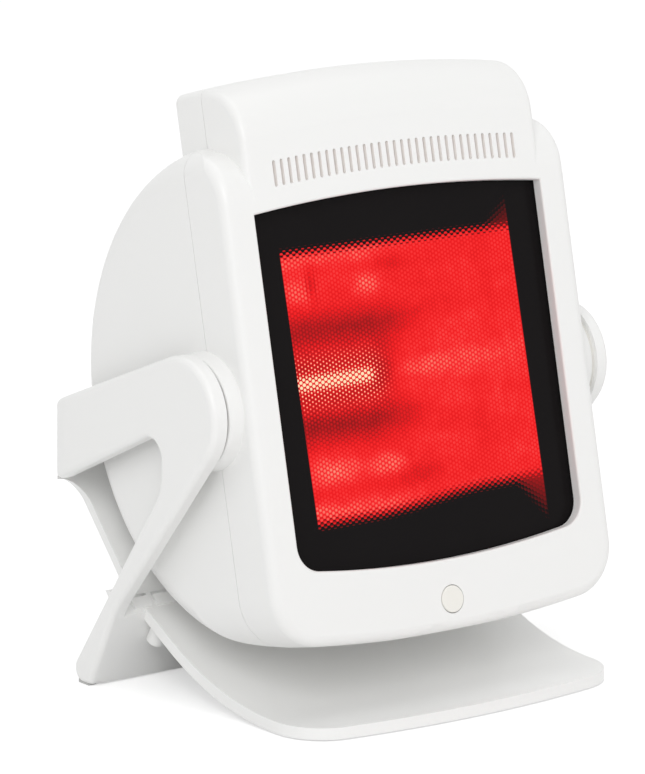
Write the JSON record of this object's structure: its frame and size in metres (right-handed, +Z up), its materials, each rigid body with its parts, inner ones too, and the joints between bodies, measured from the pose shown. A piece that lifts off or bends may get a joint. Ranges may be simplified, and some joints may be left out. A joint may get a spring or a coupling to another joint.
{
  "type": "infrared heat therapy lamp",
  "caption": "Tabletop infrared heat therapy lamp: tilting head with a dark glass window, mirrored trough, quartz tube and push button, on a curved forked stand.",
  "frame": {"origin": "on the floor, under the middle of the whole lamp's bounding box", "axes": "+X to the right seen from the front, +Y to the back away from the glass, +Z up"},
  "size_m": [0.234, 0.186, 0.2901],
  "materials": {
    "white_shell": "satin",
    "button_white": "satin",
    "dark_glass": "gloss",
    "black_silicone": "matte",
    "black_steel": "matte",
    "zinc_steel": "satin",
    "steel_sheet": "satin",
    "polished_aluminium": "polished",
    "quartz": "gloss",
    "tungsten": "satin",
    "white_ceramic": "matte",
    "board_green": "satin",
    "black_plastic": "matte",
    "blue_plastic": "matte",
    "green_plastic": "matte",
    "red_silicone": "matte",
    "fibre": "matte",
    "brass": "satin",
    "grey_rubber": "matte"
  },
  "bodies": {
    "stand": {"stand_yoke": "white_shell", "base_plate": "white_shell", "base_screws": "zinc_steel", "base_screw_caps": "white_shell", "front_feet": "grey_rubber", "rear_feet": "grey_rubber", "friction_washer_left": "fibre", "friction_washer_right": "fibre", "pivot_insert_left": "brass", "pivot_insert_right": "brass", "retaining_washer_left": "zinc_steel", "retaining_washer_right": "zinc_steel", "pivot_screw_left": "zinc_steel", "pivot_screw_right": "zinc_steel"},
    "head": {"front_bezel": "white_shell", "rear_housing": "white_shell", "window_glass": "dark_glass", "glass_gasket": "black_silicone", "glass_retainer": "black_steel", "retainer_screws": "zinc_steel", "housing_screws": "zinc_steel", "reflector": "polished_aluminium", "reflector_end_plates": "polished_aluminium", "reflector_rivets": "zinc_steel", "heat_shield": "steel_sheet", "lamp_tube": "quartz", "lamp_filament": "tungsten", "lamp_caps": "white_ceramic", "lamp_holders": "white_ceramic", "holder_brackets": "steel_sheet", "holder_screws": "zinc_steel", "bracket_rivets": "zinc_steel", "thermal_cutout": "black_plastic", "tact_switch": "black_plastic", "switch_board": "board_green", "switch_board_screws": "zinc_steel", "control_board": "board_green", "control_board_screws": "zinc_steel", "power_module": "black_plastic", "relay": "blue_plastic", "buzzer": "black_plastic", "terminal_block": "green_plastic", "lamp_leads": "red_silicone", "switch_lead": "red_silicone", "cable_gland": "white_shell", "gland_nut": "black_plastic", "pivot_disc_left": "white_shell", "pivot_disc_right": "white_shell", "pivot_plate_left": "zinc_steel", "pivot_plate_right": "zinc_steel", "disc_screws": "zinc_steel"},
    "button": {"button_cap": "button_white", "switch_plunger": "black_plastic"}
  },
  "joints": [
    {"name": "head_tilt", "type": "hinge", "parent": "stand", "child": "head", "pos_m": [0, -0.0175, 0.1427], "axis": [-1, 0, 0], "range_deg": [-13, 37]},
    {"name": "button_press", "type": "slide", "parent": "head", "child": "button", "axis": [0, 0.9741, -0.2261], "range_m": [0, 0.0015], "stiffness_N_per_m": 600, "springref_m": -0.0008}
  ]
}
